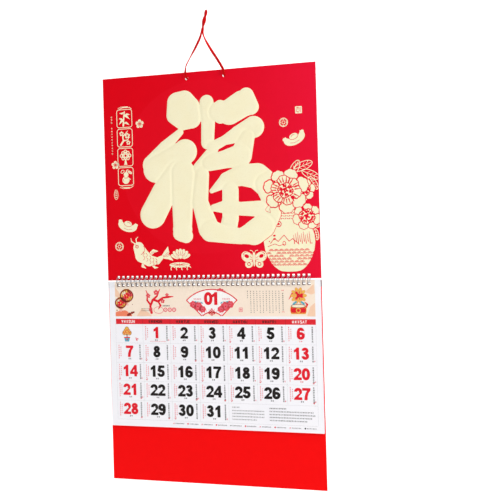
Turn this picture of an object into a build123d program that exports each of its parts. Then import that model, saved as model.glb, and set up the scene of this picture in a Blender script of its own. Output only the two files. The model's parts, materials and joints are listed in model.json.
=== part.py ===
from build123d import *
import math
import os

# A wall calendar: a stiff header card with a raised character, a pad of month sheets and a back
# board, all threaded on one twin-loop wire, and hung from a cord with a knot behind each hole.
# Millimetres. The origin is the top of the cord's loop, where a nail carries it. +X is to the
# right, -Y faces the room and +Z is up.

# Boards and sheets
board_width = 370.0
header_height = 345.0
header_thickness = 1.5
back_board_height = 337.0
back_board_thickness = 1.0
sheets_height = 245.0
sheets_thickness = 1.5
sheets_side_inset = 1.5
edge_gap = 2.4  # between the header's lower edge and the top edges that hang below it
leaf_gap = 0.15  # between the month sheets and the back board

# Hanging cord and its holes
cord_diameter = 2.0
cord_rise = 100.5  # from the header's top edge up to the top of the loop
loop_lean = 4.3  # the loop's top stands this far right of the header's centre line
hanging_hole_spacing = 65.0
hanging_hole_drop = 10.0
hanging_hole_diameter = 5.5
knot_diameter = 6.4
knot_gap = 0.3  # between a knot and the back of the card

# Twin-loop binding, three loops to the inch
wire_diameter = 0.9
loop_pitch = 8.47
loop_half_width = 1.2  # each loop is two strands, this far to either side of its centre
binding_hole_side = 4.2
binding_hole_corner = 0.5
binding_hole_edge = 5.2  # from a card's or sheet's edge to the centres of its holes
binding_end_margin = 18.0  # the least distance from a side edge to the first hole's centre
wire_drop = 0.6  # the wire bears this far off the holes' centres, towards the edges
axis_forward = 1.5  # the loops stand this far in front of the header's middle plane
base_angle = 52.0  # degrees from +Y at which a loop leaves the row of wide bends
tip_angle = 382.0  # degrees from +Y at which a loop's narrow end begins

# Raised character, measured from its own centre
relief_height = 0.8
relief_drop = 153.0  # from the header's top edge down to the character's centre

# Places worked out from the sizes above
centre_x = -loop_lean
header_top = -cord_rise
header_bottom = header_top - header_height
lower_top = header_bottom - edge_gap
axis_y = -axis_forward
axis_z = (header_bottom + lower_top) / 2
wire_reach = edge_gap / 2 + binding_hole_edge - wire_drop
ring_radius = math.hypot(wire_reach, axis_forward)
sheets_width = board_width - 2 * sheets_side_inset
stack_depth = sheets_thickness + leaf_gap + back_board_thickness
sheets_front = -stack_depth / 2
board_front = sheets_front + sheets_thickness + leaf_gap
hole_count = 1 + math.floor((board_width - 2 * binding_end_margin) / loop_pitch)
hole_xs = [centre_x + (i - (hole_count - 1) / 2) * loop_pitch for i in range(hole_count)]
hanging_hole_z = header_top - hanging_hole_drop
hanging_hole_xs = [centre_x + side * hanging_hole_spacing / 2 for side in (-1, 1)]
knot_y = header_thickness / 2 + knot_gap + knot_diameter / 2

# The character's strokes, each a list of (x, z, half-width) from its centre, in writing order
relief_strokes = [
    [(-46, 98, 25), (-33, 76, 27)],
    [(-47, 54, 6), (-75, 31, 10), (-97, 2, 18)],
    [(-92, -6, 22), (-52, 11, 23), (-39, 21, 21)],
    [(-52, -13, 21), (-77, -44, 22), (-99, -82, 23)],
    [(-43, -14, 21), (-46, -70, 18), (-47, -117, 17)],
    [(-16, -6, 9), (4, 12, 11), (12, 24, 8)],
    [(1, 101, 12), (3, 70, 12), (1, 34, 11)],
    [(20, 82, 18), (40, 78, 24), (66, 96, 26)],
    [(8, 26, 9), (30, 36, 8), (54, 45, 14), (80, 55, 18)],
    [(70, 40, 12), (58, 12, 19)],
    [(4, 0, 13), (30, 5, 15), (57, 10, 19)],
    [(-10, -18, 12), (-15, -64, 14), (-1, -108, 18)],
    [(6, -46, 4), (32, -29, 13), (60, -22, 18), (84, -25, 21), (101, -40, 21)],
    [(101, -40, 21), (107, -62, 17), (104, -86, 18), (92, -106, 20)],
    [(38, -46, 14), (37, -92, 14), (31, -116, 15)],
    [(9, -74, 6), (32, -73, 12), (54, -77, 11), (86, -78, 13)],
    [(2, -112, 18), (30, -119, 14), (54, -122, 13), (76, -117, 20), (92, -106, 20)],
]

# The cord's route, from the left knot over the loop's top to the right knot. Below the join the
# two strands part, above it they twist once round each other.
cord_route = [
    (hanging_hole_xs[0], knot_y, hanging_hole_z - 0.1),
    (hanging_hole_xs[0] - 0.4, -3.7, hanging_hole_z + 1.6),
    (-38.4, -3.3, -99.8),
    (-37.2, -2.5, -90.2),
    (-31.3, -1.9, -80.0),
    (-25.5, -1.4, -70.4),
    (-19.6, -0.9, -60.6),
    (-14.2, -0.5, -50.6),
    (-11.0, -0.2, -43.8),
    (-9.35, 0.0, -38.0),
    (-7.7, -1.2, -32.0),
    (-5.0, -1.2, -26.0),
    (-3.0, 0.0, -20.0),
    (-2.2, 1.2, -14.0),
    (-2.2, 1.1, -9.0),
    (-2.1, 0.2, -4.2),
    (-1.6, 0.0, 0.0),
    (1.6, 0.0, 0.1),
    (2.1, -0.2, -4.2),
    (-0.2, -1.3, -9.0),
    (-3.6, -1.2, -14.0),
    (-5.7, 0.0, -20.0),
    (-6.4, 1.2, -26.0),
    (-6.3, 1.2, -32.0),
    (-6.6, 0.0, -38.0),
    (-4.9, -0.3, -44.0),
    (-0.9, -0.6, -52.4),
    (4.6, -0.9, -62.3),
    (10.6, -1.4, -72.3),
    (17.0, -1.9, -82.2),
    (23.2, -2.6, -92.4),
    (27.9, -3.3, -101.0),
    (hanging_hole_xs[1] + 0.7, -3.7, hanging_hole_z + 1.6),
    (hanging_hole_xs[1], knot_y, hanging_hole_z - 0.1),
]


def slab(width, height, thickness, top, front):
    """A flat card centred on the calendar's middle line, hanging down from its top edge."""
    middle = (centre_x, front + thickness / 2, top - height / 2)
    return Pos(*middle) * Box(width, thickness, height)


def binding_holes(row_z):
    """Square punches for one row of binding holes, longer than any card is thick."""
    square = RectangleRounded(binding_hole_side, binding_hole_side, binding_hole_corner)
    reach = 4 * stack_depth
    row = Sketch() + [Pos(x, row_z) * square for x in hole_xs]
    return extrude(Plane.XZ * row, reach, both=True)


def stroke_piece(start, end):
    """The outline that a round brush leaves as it goes from one point to the next."""
    ends = [Pos(x, z) * Circle(half_width) for x, z, half_width in (start, end)]
    return make_hull(ends[0].edges() + ends[1].edges())


def raised_character():
    pieces = [stroke_piece(a, b) for stroke in relief_strokes for a, b in zip(stroke, stroke[1:])]
    outline = pieces[0] + pieces[1:]
    place = Pos(centre_x, -header_thickness / 2, header_top - relief_drop)
    return place * extrude(Plane.XZ * outline, relief_height)


def header_board():
    card = slab(board_width, header_height, header_thickness, header_top, -header_thickness / 2)
    card += raised_character()
    card -= binding_holes(header_bottom + binding_hole_edge)
    for x in hanging_hole_xs:
        hole = Cylinder(hanging_hole_diameter / 2, 4 * header_thickness, rotation=(90, 0, 0))
        card -= Pos(x, 0, hanging_hole_z) * hole
    return card


def month_sheets():
    pad = slab(sheets_width, sheets_height, sheets_thickness, lower_top, sheets_front)
    return pad - binding_holes(lower_top - binding_hole_edge)


def back_board():
    card = slab(board_width, back_board_height, back_board_thickness, lower_top, board_front)
    return card - binding_holes(lower_top - binding_hole_edge)


def ring_point(x, degrees):
    angle = math.radians(degrees)
    return Vector(x, axis_y + ring_radius * math.cos(angle), axis_z + ring_radius * math.sin(angle))


def ring_tangent(degrees):
    angle = math.radians(degrees)
    return Vector(0, -math.sin(angle), math.cos(angle))


def wire_binding():
    """One wire: narrow loops through the holes, joined by wide bends behind the header's edge."""
    middle_angle = (base_angle + tip_angle) / 2
    edges = []
    for i, x in enumerate(hole_xs):
        left, right = x - loop_half_width, x + loop_half_width
        tip = ring_point(x, tip_angle) + ring_tangent(tip_angle) * loop_half_width
        edges.append(ThreePointArc(*[ring_point(left, a) for a in (base_angle, middle_angle, tip_angle)]))
        edges.append(ThreePointArc(ring_point(left, tip_angle), tip, ring_point(right, tip_angle)))
        edges.append(ThreePointArc(*[ring_point(right, a) for a in (tip_angle, middle_angle, base_angle)]))
        if i + 1 < hole_count:
            next_left = hole_xs[i + 1] - loop_half_width
            bend_radius = (next_left - right) / 2
            bend = ring_point(right + bend_radius, base_angle)
            bend -= ring_tangent(base_angle) * bend_radius
            edges.append(ThreePointArc(ring_point(right, base_angle), bend, ring_point(next_left, base_angle)))
    path = Wire(edges)
    section = Plane(edges[0] @ 0, z_dir=edges[0] % 0) * Circle(wire_diameter / 2)
    return sweep(section, path=path), path


def corner_radii(route):
    """For each corner, the largest arc that takes 0.45 of the shorter run beside it."""
    points = [Vector(*point) for point in route]
    radii = []
    for before, corner, after in zip(points, points[1:], points[2:]):
        run_in, run_out = corner - before, after - corner
        turn = math.radians(run_in.get_angle(run_out))
        radii.append(0.45 * min(run_in.length, run_out.length) / math.tan(turn / 2))
    return radii


def hanging_cord():
    radii = corner_radii(cord_route)
    path = FilletPolyline(*cord_route, radius=radii)
    section = Plane(path @ 0, z_dir=path % 0) * Circle(cord_diameter / 2)
    cord = sweep(section, path=path)
    tube_volume = cord.volume
    for x in hanging_hole_xs:
        cord += Pos(x, knot_y, hanging_hole_z) * Sphere(knot_diameter / 2)
    return cord, path, radii, tube_volume


def write(name, shape):
    shape.label = name
    export_step(shape, f"parts/{name}.step")


os.makedirs("parts", exist_ok=True)
write("header_board", header_board())
write("month_sheets", month_sheets())
write("back_board", back_board())

wire, wire_path = wire_binding()
write("wire_binding", wire)
wire_section = math.pi * wire_diameter**2 / 4
print("holes in a row", hole_count, "ring radius", round(ring_radius, 3))
print("wire volume over section times length", round(wire.volume / (wire_section * wire_path.length), 4))

cord, cord_path, cord_radii, cord_volume = hanging_cord()
write("hanging_cord", cord)
cord_section = math.pi * cord_diameter**2 / 4
print("cord length", round(cord_path.length, 1), "radii", [round(r, 1) for r in cord_radii])
print("cord volume over section times length", round(cord_volume / (cord_section * cord_path.length), 4))
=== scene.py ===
import json
import math
import random

import bpy
import numpy as np
from mathutils import Matrix, Vector

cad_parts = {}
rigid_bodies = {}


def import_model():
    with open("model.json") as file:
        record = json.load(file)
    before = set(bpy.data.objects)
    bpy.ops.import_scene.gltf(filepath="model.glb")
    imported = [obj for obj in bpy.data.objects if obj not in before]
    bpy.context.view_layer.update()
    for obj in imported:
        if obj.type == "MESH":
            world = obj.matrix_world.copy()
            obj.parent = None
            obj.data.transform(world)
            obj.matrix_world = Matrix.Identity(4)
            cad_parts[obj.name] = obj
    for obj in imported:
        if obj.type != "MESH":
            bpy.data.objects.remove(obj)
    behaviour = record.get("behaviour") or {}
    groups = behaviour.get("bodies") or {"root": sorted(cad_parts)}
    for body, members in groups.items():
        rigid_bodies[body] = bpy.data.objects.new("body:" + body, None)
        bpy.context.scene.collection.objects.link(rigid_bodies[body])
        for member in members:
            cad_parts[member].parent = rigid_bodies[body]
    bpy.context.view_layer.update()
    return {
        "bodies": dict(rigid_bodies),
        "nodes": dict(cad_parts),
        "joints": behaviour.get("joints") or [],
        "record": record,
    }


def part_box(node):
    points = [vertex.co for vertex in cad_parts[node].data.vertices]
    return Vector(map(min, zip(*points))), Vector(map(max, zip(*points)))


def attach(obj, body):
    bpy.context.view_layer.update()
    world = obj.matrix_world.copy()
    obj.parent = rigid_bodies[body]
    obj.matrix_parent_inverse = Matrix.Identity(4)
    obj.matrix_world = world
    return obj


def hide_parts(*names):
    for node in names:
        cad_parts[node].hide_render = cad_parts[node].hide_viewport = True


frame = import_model()
mm = 0.001
dice = random.Random(7)

headerLow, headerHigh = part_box("header_board")
sheetsLow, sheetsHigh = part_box("month_sheets")
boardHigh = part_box("back_board")[1]
middleX = (headerLow.x + headerHigh.x) / 2  # drawings are laid out in mm from the middle
hingeZ = headerLow.z  # of the header's lower edge, x to the right and z up


def ink(red, green, blue):
    # a printed colour, given from 0 to 255, as linear light
    linear = []
    for value in (red, green, blue):
        part = value / 255
        linear.append(part / 12.92 if part <= 0.04045 else ((part + 0.055) / 1.055) ** 2.4)
    return (*linear, 1.0)


class Signal:
    # one socket in a material; arithmetic on it adds Math nodes
    def __init__(self, finish, socket):
        self.finish = finish
        self.socket = socket

    def math(self, operation, first, second):
        return self.finish.node("ShaderNodeMath", {"operation": operation}, {0: first, 1: second})

    def __add__(self, other):
        return self.math("ADD", self, other)

    def __sub__(self, other):
        return self.math("SUBTRACT", self, other)

    def __rsub__(self, other):
        return self.math("SUBTRACT", other, self)

    def __mul__(self, other):
        return self.math("MULTIPLY", self, other)

    def __gt__(self, other):
        return self.math("GREATER_THAN", self, other)

    def __lt__(self, other):
        return self.math("LESS_THAN", self, other)

    def __abs__(self):
        return self.finish.node("ShaderNodeMath", {"operation": "ABSOLUTE"}, {0: self})

    __radd__ = __add__
    __rmul__ = __mul__


class Finish:
    # one material, built round its Principled shader
    def __init__(self, name, **constants):
        self.material = bpy.data.materials.new(name)
        self.material.use_nodes = True
        self.tree = self.material.node_tree
        self.shader = self.tree.nodes["Principled BSDF"]
        for key, value in constants.items():
            self.shader.inputs[key.replace("_", " ")].default_value = value

    def node(self, kind, settings=None, links=None, out=0):
        made = self.tree.nodes.new(kind)
        for key, value in (settings or {}).items():
            setattr(made, key, value)
        for key, value in (links or {}).items():
            self.feed(made.inputs[key], value)
        return Signal(self, made.outputs[out])

    def feed(self, socket, value):
        if isinstance(value, Signal):
            self.tree.links.new(value.socket, socket)
        else:
            socket.default_value = value

    def set(self, key, value):
        self.feed(self.shader.inputs[key], value)

    def place(self, out="Object"):
        return self.node("ShaderNodeTexCoord", out=out)

    def axes(self, vector):
        split = self.node("ShaderNodeSeparateXYZ", links={0: vector})
        outputs = split.socket.node.outputs
        return [Signal(self, outputs[i]) for i in range(3)]

    def stretched(self, vector, scale):
        return self.node("ShaderNodeVectorMath", {"operation": "MULTIPLY"}, {0: vector, 1: scale})

    def noise(self, scale, detail=2.0, vector=None):
        vector = vector or self.place()
        return self.node("ShaderNodeTexNoise", links={"Vector": vector, "Scale": scale, "Detail": detail})

    def mix(self, factor, first, second):
        settings = {"data_type": "RGBA", "blend_type": "MIX"}
        return self.node("ShaderNodeMix", settings, {0: factor, 6: first, 7: second}, out=2)

    def spread(self, value, low, high):
        # 0 at the low value and 1 at the high one
        return self.node("ShaderNodeMapRange", {"clamp": True}, {0: value, 1: low, 2: high})

    def bands(self, direction, vector, **looks):
        settings = {"wave_type": "BANDS", "bands_direction": direction}
        return self.node("ShaderNodeTexWave", settings, {"Vector": vector, **looks})

    def bump(self, height, strength, distance):
        links = {"Height": height, "Strength": strength, "Distance": distance}
        self.set("Normal", self.node("ShaderNodeBump", links=links))


cardLook = {
    "red": (226, 3, 23),
    # painted sheen: the lighter, pinker red the header's face reaches at its right, standing in for a
    # reflection of the light
    "paintedSheenRed": (237, 20, 54),
    "ringRed": (233, 20, 42),
    "mottleRed": (190, 4, 16),
    "core": (168, 160, 152),
    "coreFleck": (128, 120, 114),
    "reverse": (196, 192, 184),
    "reverseFleck": (168, 163, 154),
    "ringCentre": (middleX - 8 * mm, 0, hingeZ + 187 * mm),  # of a faint round print behind the character
    "ringRadius": 143 * mm,
    "ringEdge": 2 * mm,
    "ringHalo": 2.2 * mm,
    "backRed": (248, 10, 12),
    "paintedShadeRed": (96, 8, 20),  # painted shade: a dark strip round the back board's binding holes, standing in for the shadow there seen through the sheets' holes
    "paintedShadeEdge": boardHigh.z - 11 * mm,
}


def cardFinish(name, redLeft, sheenRight, ring):
    # laminated print on the face, lighter towards the right as a painted sheen, bare card on the reverse and
    # at the cut edges
    finish = Finish(name, Roughness=0.5, Specular_IOR_Level=0.04)
    place = finish.place()
    x, z = finish.axes(place)[::2]
    # painted sheen: the face's red lightens towards the right, in place of a soft reflection of the light
    # from that side
    across = finish.spread(x, headerLow.x, headerHigh.x)
    across = across * across
    printed = finish.mix(across, ink(*redLeft), ink(*sheenRight))
    if ring:
        flat = finish.stretched(place, (1, 0, 1))
        links = {0: flat, 1: cardLook["ringCentre"]}
        radius = finish.node("ShaderNodeVectorMath", {"operation": "DISTANCE"}, links, out=1)
        halo = 1 - finish.spread(abs(radius - ring), 0.0, cardLook["ringHalo"])
        disc = finish.spread(radius, ring, ring - cardLook["ringEdge"])
        printed = finish.mix(halo * 0.35 + disc * 0.25, printed, ink(*cardLook["ringRed"]))
    else:
        # painted shade: the back board darkens along its binding strip, where it lies in shadow behind the
        # sheets
        printed = finish.mix(z > cardLook["paintedShadeEdge"], printed, ink(*cardLook["paintedShadeRed"]))
    mottle = finish.noise(90, 4)
    grain = finish.noise(2200, 2)
    printed = finish.mix(mottle * 0.10, printed, ink(*cardLook["mottleRed"]))
    normal = finish.axes(finish.place("Normal"))[1]
    face = normal < -0.5
    cut = abs(normal) < 0.5
    fleck = grain * 0.5 + mottle * 0.2
    plain = finish.mix(fleck, ink(*cardLook["reverse"]), ink(*cardLook["reverseFleck"]))
    core = finish.mix(finish.noise(3000, 3) * 0.7, ink(*cardLook["core"]), ink(*cardLook["coreFleck"]))
    bare = finish.mix(cut, plain, core)
    finish.set("Base Color", finish.mix(face, bare, printed))
    gloss = 0.44 + mottle * 0.12
    finish.set("Roughness", gloss * face + (1 - face) * 0.85)
    finish.bump(grain * 0.6 + mottle * 0.8, 0.25, 0.05 * mm)
    return finish.material


def paperFinish():
    finish = Finish("coatedPaper", Specular_IOR_Level=0.25)
    fibre = finish.noise(1500, 4, finish.stretched(finish.place(), (1, 1, 0.45)))
    cloud = finish.noise(14, 2)
    tone = finish.mix(cloud, ink(249, 248, 251), ink(245, 244, 249))
    finish.set("Base Color", finish.mix(fibre * 0.25, tone, ink(232, 231, 236)))
    finish.set("Roughness", 0.52 + fibre * 0.16)
    finish.bump(fibre, 0.18, 0.03 * mm)
    return finish.material


def foilFinish():
    # pale cream foil, pressed through a fine linen grain
    finish = Finish("creamFoil", Specular_IOR_Level=0.3)
    linen = {"Scale": 560, "Distortion": 1.0, "Detail": 1.0}
    warp = finish.bands("X", finish.place(), **linen)
    weft = finish.bands("Z", finish.place(), **linen)
    speck = finish.noise(900, 3)
    cloud = finish.noise(35, 3)
    tone = finish.mix(cloud, ink(251, 245, 212), ink(249, 239, 198))
    tone = finish.mix(finish.spread(speck, 0.55, 0.75) * 0.3, tone, ink(226, 208, 156))
    finish.set("Base Color", tone)
    finish.set("Roughness", 0.36 + speck * 0.2)
    finish.bump(warp * 0.5 + weft * 0.5 + speck * 0.6, 0.35, 0.05 * mm)
    return finish.material


def inkFinish(name, colour):
    # offset ink: slightly uneven, a little glossier than the paper
    finish = Finish(name, Specular_IOR_Level=0.15)
    cloud = finish.noise(420, 3)
    darker = tuple(max(0, value - 24) for value in colour)
    finish.set("Base Color", finish.mix(cloud * 0.36, ink(*colour), ink(*darker)))
    finish.set("Roughness", 0.42 + cloud * 0.2)
    finish.bump(cloud, 0.12, 0.02 * mm)
    return finish.material


def wireFinish():
    finish = Finish("platedWire", Metallic=1.0)
    scratch = finish.noise(5000, 3, finish.stretched(finish.place(), (1, 0.15, 0.15)))
    tarnish = finish.noise(260, 3)
    finish.set("Base Color", finish.mix(tarnish * 0.5, ink(150, 150, 156), ink(92, 92, 100)))
    finish.set("Roughness", 0.24 + scratch * 0.16)
    finish.bump(scratch, 0.15, 0.02 * mm)
    return finish.material


def cordFinish():
    # a narrow woven cord, its threads crossing on the slant
    finish = Finish("wovenCord", Sheen_Weight=0.04, Sheen_Roughness=0.4, Specular_IOR_Level=0.08)
    threads = {"Scale": 420, "Distortion": 0.6}
    over = finish.bands("DIAGONAL", finish.place(), **threads)
    under = finish.bands("DIAGONAL", finish.stretched(finish.place(), (-1, 1, 1)), **threads)
    weave = over * under
    fuzz = finish.noise(4000, 2)
    tone = finish.mix(weave, ink(190, 0, 4), ink(226, 4, 10))
    finish.set("Base Color", finish.mix(fuzz * 0.2, tone, ink(232, 36, 34)))
    finish.set("Roughness", 0.62 + fuzz * 0.25)
    finish.bump(weave + fuzz * 0.3, 0.8, 0.15 * mm)
    return finish.material


headerRed = cardFinish("laminatedHeader", cardLook["red"], cardLook["paintedSheenRed"], cardLook["ringRadius"])
boardRed = cardFinish("laminatedBoard", cardLook["backRed"], cardLook["backRed"], None)
paper = paperFinish()
foil = foilFinish()
wireMetal = wireFinish()
cordFibre = cordFinish()
inks = {
    "black": (36, 31, 30),
    "red": (228, 28, 46),
    "strip": (226, 40, 52),
    "peach": (252, 234, 215),
    "peachDeep": (248, 208, 178),
    "white": (253, 250, 247),
    "grey": (78, 74, 76),
    "line": (176, 174, 178),
    "pink": (236, 104, 120),
    "rose": (232, 82, 92),
    "orange": (244, 138, 104),
    "brown": (150, 52, 40),
    "gold": (240, 190, 84),
    "cyan": (86, 176, 196),
    "cream": (250, 238, 206),
}
inkMaterials = {name: inkFinish(name + "Ink", colour) for name, colour in inks.items()}
print("materials made")


# level with the sheets, and a little to the calendar's right
cameraPlan = {
    "place": (402.7, -1239.9, -368.2),  # mm
    "yaw": 15.243,
    "roll": -1.602,
    "lens": 56.74,
    "rise": -0.037,
}


def makeCamera(plan):
    lens = bpy.data.cameras.new("viewCamera")
    lens.lens = plan["lens"]
    lens.shift_y = plan["rise"]
    lens.clip_start = 0.01
    holder = bpy.data.objects.new("viewCamera", lens)
    turn = math.radians(plan["yaw"])
    roll = math.radians(plan["roll"])
    right = np.array([math.cos(turn), math.sin(turn), 0.0])
    up = np.array([0.0, 0.0, 1.0])
    side = right * math.cos(roll) + up * math.sin(roll)
    top = up * math.cos(roll) - right * math.sin(roll)
    basis = np.array([side, top, np.cross(side, top)]).T
    place = Matrix.Translation([v * mm for v in plan["place"]])
    holder.matrix_world = place @ Matrix(basis.tolist()).to_4x4()
    bpy.context.scene.collection.objects.link(holder)
    bpy.context.scene.camera = holder


makeCamera(cameraPlan)
print("camera placed")


cordPlan = {
    "halfWidth": 1.45 * mm,  # of the flat part of its section
    "edge": 0.75 * mm,
    "length": 0.25,
    "width": 4.2 * mm,
    # by number of the route's point: narrower where the strands part, twist and turn back at the top
    "widths": {
        **{8: 0.95, 9: 0.75, 10: 0.7, 11: 0.8, 14: 0.9, 15: 0.75, 16: 0.5},
        **{17: 0.5, 18: 0.75, 19: 0.9, 22: 0.8, 23: 0.7, 24: 0.6, 25: 0.7},
    },
    # and turned edge on, by this share of a quarter turn
    "edgeOn": {2: 0.3, 3: 0.75, 4: 0.7, 5: 0.35, 25: 0.9, 26: 0.7, 27: 0.45, 28: 0.15},
    "knotReach": 0.68 * mm,
    "knotTube": 1.0 * mm,
}
cordRoute = [
    (-0.0368, 0.00425, -0.1106),
    (-0.0372, -0.0037, -0.1089),
    (-0.0384, -0.0033, -0.0998),
    (-0.0372, -0.0025, -0.0902),
    (-0.0313, -0.0019, -0.0800),
    (-0.0255, -0.0014, -0.0704),
    (-0.0196, -0.0009, -0.0606),
    (-0.0142, -0.0005, -0.0506),
    (-0.0110, -0.0002, -0.0438),
    (-0.00935, 0.0, -0.0380),
    (-0.0077, -0.0012, -0.0320),
    (-0.0050, -0.0012, -0.0260),
    (-0.0030, 0.0, -0.0200),
    (-0.0022, 0.0012, -0.0140),
    (-0.0022, 0.0011, -0.0090),
    (-0.0015, 0.0002, -0.0042),
    (-0.0007, 0.0, -0.0006),
    (0.0009, 0.0, -0.0005),
    (0.0011, -0.0002, -0.0042),
    (-0.0002, -0.0013, -0.0090),
    (-0.0036, -0.0012, -0.0140),
    (-0.0057, 0.0, -0.0200),
    (-0.0064, 0.0012, -0.0260),
    (-0.0063, 0.0012, -0.0320),
    (-0.0066, 0.0, -0.0380),
    (-0.0049, -0.0003, -0.0440),
    (-0.0009, -0.0006, -0.0524),
    (0.0046, -0.0009, -0.0623),
    (0.0106, -0.0014, -0.0723),
    (0.0170, -0.0019, -0.0822),
    (0.0232, -0.0026, -0.0924),
    (0.0279, -0.0033, -0.1010),
    (0.0289, -0.0037, -0.1089),
    (0.0282, 0.00425, -0.1106),
]


def link(name, data, body, slot, material):
    made = bpy.data.objects.new(name, data)
    bpy.context.scene.collection.objects.link(made)
    data.materials.append(material)
    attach(made, body)
    return made


def meshOf(curve):
    # the mesh of a curve, without the curve
    holder = bpy.data.objects.new(curve.name + "Curve", curve)
    bpy.context.scene.collection.objects.link(holder)
    bpy.context.view_layer.update()
    mesh = bpy.data.meshes.new_from_object(holder)
    bpy.data.objects.remove(holder)
    mesh.materials.clear()
    mesh.name = curve.name
    return mesh


def cordCurve(plan, route):
    curve = bpy.data.curves.new("hangingCord", "CURVE")
    curve.dimensions = "3D"
    curve.resolution_u = 6
    spline = curve.splines.new("NURBS")
    spline.points.add(len(route) - 1)
    for i, (point, place) in enumerate(zip(spline.points, route)):
        point.co = (*place, 1.0)
        point.tilt = math.radians(90 - 90 * plan["edgeOn"].get(i, 0.0))
        point.radius = plan["widths"].get(i, 1.0)
    spline.order_u = 3
    spline.use_endpoint_u = True
    curve.extrude = plan["halfWidth"]
    curve.bevel_depth = plan["edge"]
    curve.bevel_resolution = 2
    curve.use_fill_caps = True
    return link("hangingCord", curve, "header", "cord_fibre", cordFibre)


def knot(name, centre, plan, lean):
    # a pulled-tight overhand knot with its short cut end
    curve = bpy.data.curves.new(name, "CURVE")
    curve.dimensions = "3D"
    curve.resolution_u = 5
    loop = curve.splines.new("NURBS")
    count = 15
    loop.points.add(count - 1)
    reach = plan["knotReach"]
    for i, point in enumerate(loop.points):
        t = 2 * math.pi * i / count
        x = reach * (math.sin(t) + 2 * math.sin(2 * t))
        z = reach * (math.cos(t) - 2 * math.cos(2 * t))
        y = -1.5 * reach * math.sin(3 * t)
        point.co = (centre[0] + x, centre[1] + y, centre[2] + z, 1.0)
    loop.order_u = 3
    loop.use_cyclic_u = True
    tail = curve.splines.new("NURBS")
    tail.points.add(3)
    steps = [(0, 0.2, 0), (lean * 1.5, 0.9, -2.4), (lean * 2.2, 0.5, -5.6), (lean * 1.6, 0.1, -9.0)]
    for point, step in zip(tail.points, steps):
        point.co = (centre[0] + step[0] * mm, centre[1] + step[1] * mm, centre[2] + step[2] * mm, 1.0)
    tail.order_u = 3
    tail.use_endpoint_u = True
    curve.bevel_depth = plan["knotTube"]
    curve.bevel_resolution = 3
    curve.use_fill_caps = True
    mesh = meshOf(curve)
    for face in mesh.polygons:
        face.use_smooth = True
    return link(name, mesh, "header", "cord_fibre", cordFibre)


cord = cordCurve(cordPlan, cordRoute)
knots = [
    knot("knotLeft", cordRoute[0], cordPlan, -1),
    knot("knotRight", cordRoute[-1], cordPlan, 1),
]
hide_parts("hanging_cord")
print("cord hung")


farOff = 1e9
# Each drawing tool gives a distance in mm from its edge at (x, z), below zero inside.


def disc(cx, cz, radius):
    return lambda x, z: np.hypot(x - cx, z - cz) - radius


def turned(cx, cz, turn):
    # a point seen from (cx, cz), in axes turned by some degrees
    c, s = math.cos(math.radians(turn)), math.sin(math.radians(turn))
    return lambda x, z: ((x - cx) * c + (z - cz) * s, (z - cz) * c - (x - cx) * s)


def around(cx, cz, reach, angle, squash=1.0):
    # a point on a ring round (cx, cz)
    return cx + reach * math.cos(angle), cz + reach * squash * math.sin(angle)


def oval(cx, cz, rx, rz, turn=0.0):
    local = turned(cx, cz, turn)

    def distance(x, z):
        u, v = local(x, z)
        near = np.hypot(u / rx, v / rz)
        return near * (near - 1) / np.maximum(np.hypot(u / rx**2, v / rz**2), 1e-6)

    return distance


def block(cx, cz, width, height, corner=0.0, turn=0.0):
    local = turned(cx, cz, turn)

    def distance(x, z):
        u, v = local(x, z)
        du, dv = np.abs(u) - width / 2 + corner, np.abs(v) - height / 2 + corner
        return np.hypot(np.maximum(du, 0), np.maximum(dv, 0)) + np.minimum(np.maximum(du, dv), 0) - corner

    return distance


def toRun(x, z, ax, az, bx, bz):
    # how far (x, z) is from the run between two points, and where along the run that is
    dx, dz = bx - ax, bz - az
    along = np.clip(((x - ax) * dx + (z - az) * dz) / (dx * dx + dz * dz), 0, 1)
    return np.hypot(x - ax - along * dx, z - az - along * dz), along


def stroke(points):
    # a brush stroke through (x, z, half-width) points

    def distance(x, z):
        best = np.full(np.shape(x), farOff)
        for (ax, az, ar), (bx, bz, br) in zip(points, points[1:]):
            gap, along = toRun(x, z, ax, az, bx, bz)
            best = np.minimum(best, gap - ar - along * (br - ar))
        return best

    return distance


def chain(*runs):
    return [stroke(points) for points in runs]


def discs(*places):
    return join(*[disc(*place) for place in places])


def line(points, half):
    return stroke([(x, z, half) for x, z in points])


def ray(cx, cz, near, far, angle, half):
    return line([around(cx, cz, near, angle), around(cx, cz, far, angle)], half)


def arc(cx, cz, radius, start, end, half, squash=1.0):
    # part of a ring between two angles in degrees, with square ends
    middle, reach = math.radians((start + end) / 2), math.radians((end - start) / 2)

    def distance(x, z):
        u, v = x - cx, (z - cz) / squash
        band = np.abs(np.hypot(u, v) - radius) - half
        angle = np.abs((np.arctan2(v, u) - middle + math.pi) % (2 * math.pi) - math.pi)
        beyond = np.hypot(u, v) * np.sin(np.clip(angle - reach, -math.pi / 2, math.pi / 2))
        return np.maximum(band, beyond)

    return distance


def outline(points):

    def distance(x, z):
        best = np.full(np.shape(x), farOff)
        within = np.zeros(np.shape(x), bool)
        for (ax, az), (bx, bz) in zip(points, points[1:] + points[:1]):
            best = np.minimum(best, toRun(x, z, ax, az, bx, bz)[0])
            if bz != az:
                within ^= ((az > z) != (bz > z)) & (x < (bx - ax) * (z - az) / (bz - az) + ax)
        return np.where(within, -best, best)

    return distance


def join(*shapes):
    return lambda x, z: np.minimum.reduce([shape(x, z) for shape in shapes])


def cut(shape, *others):
    return lambda x, z: np.maximum.reduce([shape(x, z)] + [-other(x, z) for other in others])


def inside(shape, other):
    return lambda x, z: np.maximum(shape(x, z), other(x, z))


def rim(shape, half):
    return lambda x, z: np.abs(shape(x, z)) - half


def grown(shape, amount):
    return lambda x, z: shape(x, z) - amount


def moved(shape, cx, cz, size=1.0, turn=0.0, mirror=False):
    local = turned(cx, cz, turn)

    def distance(x, z):
        u, v = local(x, z)
        return shape((-u if mirror else u) / size, v / size) * size

    return distance


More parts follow.
